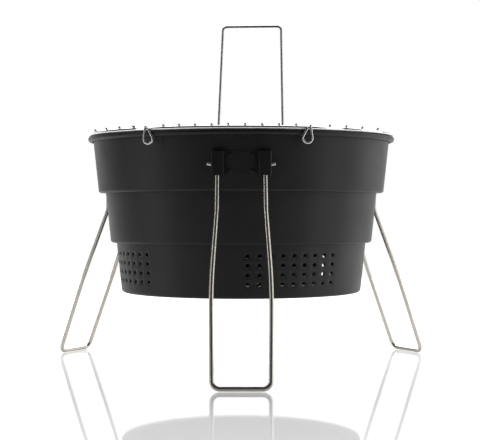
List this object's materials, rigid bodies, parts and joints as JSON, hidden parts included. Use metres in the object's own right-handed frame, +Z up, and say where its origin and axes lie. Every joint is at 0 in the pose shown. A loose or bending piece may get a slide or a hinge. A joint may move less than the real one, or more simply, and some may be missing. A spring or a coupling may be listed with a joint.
{
  "type": "portable tabletop grill",
  "caption": "Small round charcoal grill: three nesting sheet-steel rings that telescope, wire loop legs, and a lift-off wire cooking grate with a folding handle.",
  "frame": {"origin": "on the bowl's axis, in the plane that the three feet stand on", "axes": "+Z up along the bowl's axis; the front leg points along -Y; +X to the right seen from the front"},
  "size_m": [0.3806, 0.3734, 0.3556],
  "materials": {
    "black_coating": "matte heat-resistant black coating on sheet steel",
    "bracket_black": "matte black coating on stamped steel",
    "chrome_wire": "bright chrome-plated wire",
    "steel_wire": "drawn stainless wire, lightly polished",
    "handle_wire": "drawn wire, satin grey",
    "charcoal_wire": "plain steel wire, dulled"
  },
  "bodies": {
    "bowl_top": {"top_ring": "black_coating", "front_leg_bracket": "bracket_black", "left_leg_bracket": "bracket_black", "right_leg_bracket": "bracket_black", "front_bracket_rivets": "bracket_black", "left_bracket_rivets": "bracket_black", "right_bracket_rivets": "bracket_black"},
    "bowl_middle": {"middle_ring": "black_coating"},
    "fire_pan": {"bottom_pan": "black_coating"},
    "charcoal_grate": {"charcoal_grate_ring": "charcoal_wire", "charcoal_grate_bars": "charcoal_wire", "charcoal_grate_feet": "charcoal_wire"},
    "cooking_grate": {"cooking_grate_ring": "chrome_wire", "cooking_grate_bars": "chrome_wire", "left_loop_bar": "chrome_wire", "right_loop_bar": "chrome_wire", "handle_hinge_wire": "chrome_wire"},
    "handle": {"grate_handle": "handle_wire"},
    "front_leg_loop": {"front_leg": "steel_wire"},
    "left_leg_loop": {"left_leg": "steel_wire"},
    "right_leg_loop": {"right_leg": "steel_wire"}
  },
  "joints": [
    {"name": "middle_ring_slide", "type": "slide", "parent": "bowl_top", "child": "bowl_middle", "axis": [0, 0, 1], "range_m": [0, 0.048]},
    {"name": "pan_slide", "type": "slide", "parent": "bowl_middle", "child": "fire_pan", "axis": [0, 0, 1], "range_m": [0, 0.048]},
    {"name": "charcoal_grate_lift", "type": "slide", "parent": "fire_pan", "child": "charcoal_grate", "axis": [0, 0, 1], "range_m": [0, 0.03]},
    {"name": "cooking_grate_lift", "type": "slide", "parent": "bowl_top", "child": "cooking_grate", "axis": [0, 0, 1], "range_m": [0, 0.15]},
    {"name": "handle_fold", "type": "hinge", "parent": "cooking_grate", "child": "handle", "pos_m": [0.0099, 0.13163, 0.22325], "axis": [0.9972, -0.075, 0], "range_deg": [-46, 101.3]},
    {"name": "front_leg_pull", "type": "slide", "parent": "bowl_top", "child": "front_leg_loop", "axis": [0, 0, -1], "range_m": [0, 0.035]},
    {"name": "left_leg_pull", "type": "slide", "parent": "bowl_top", "child": "left_leg_loop", "axis": [0, 0, -1], "range_m": [0, 0.035]},
    {"name": "right_leg_pull", "type": "slide", "parent": "bowl_top", "child": "right_leg_loop", "axis": [0, 0, -1], "range_m": [0, 0.035]}
  ]
}
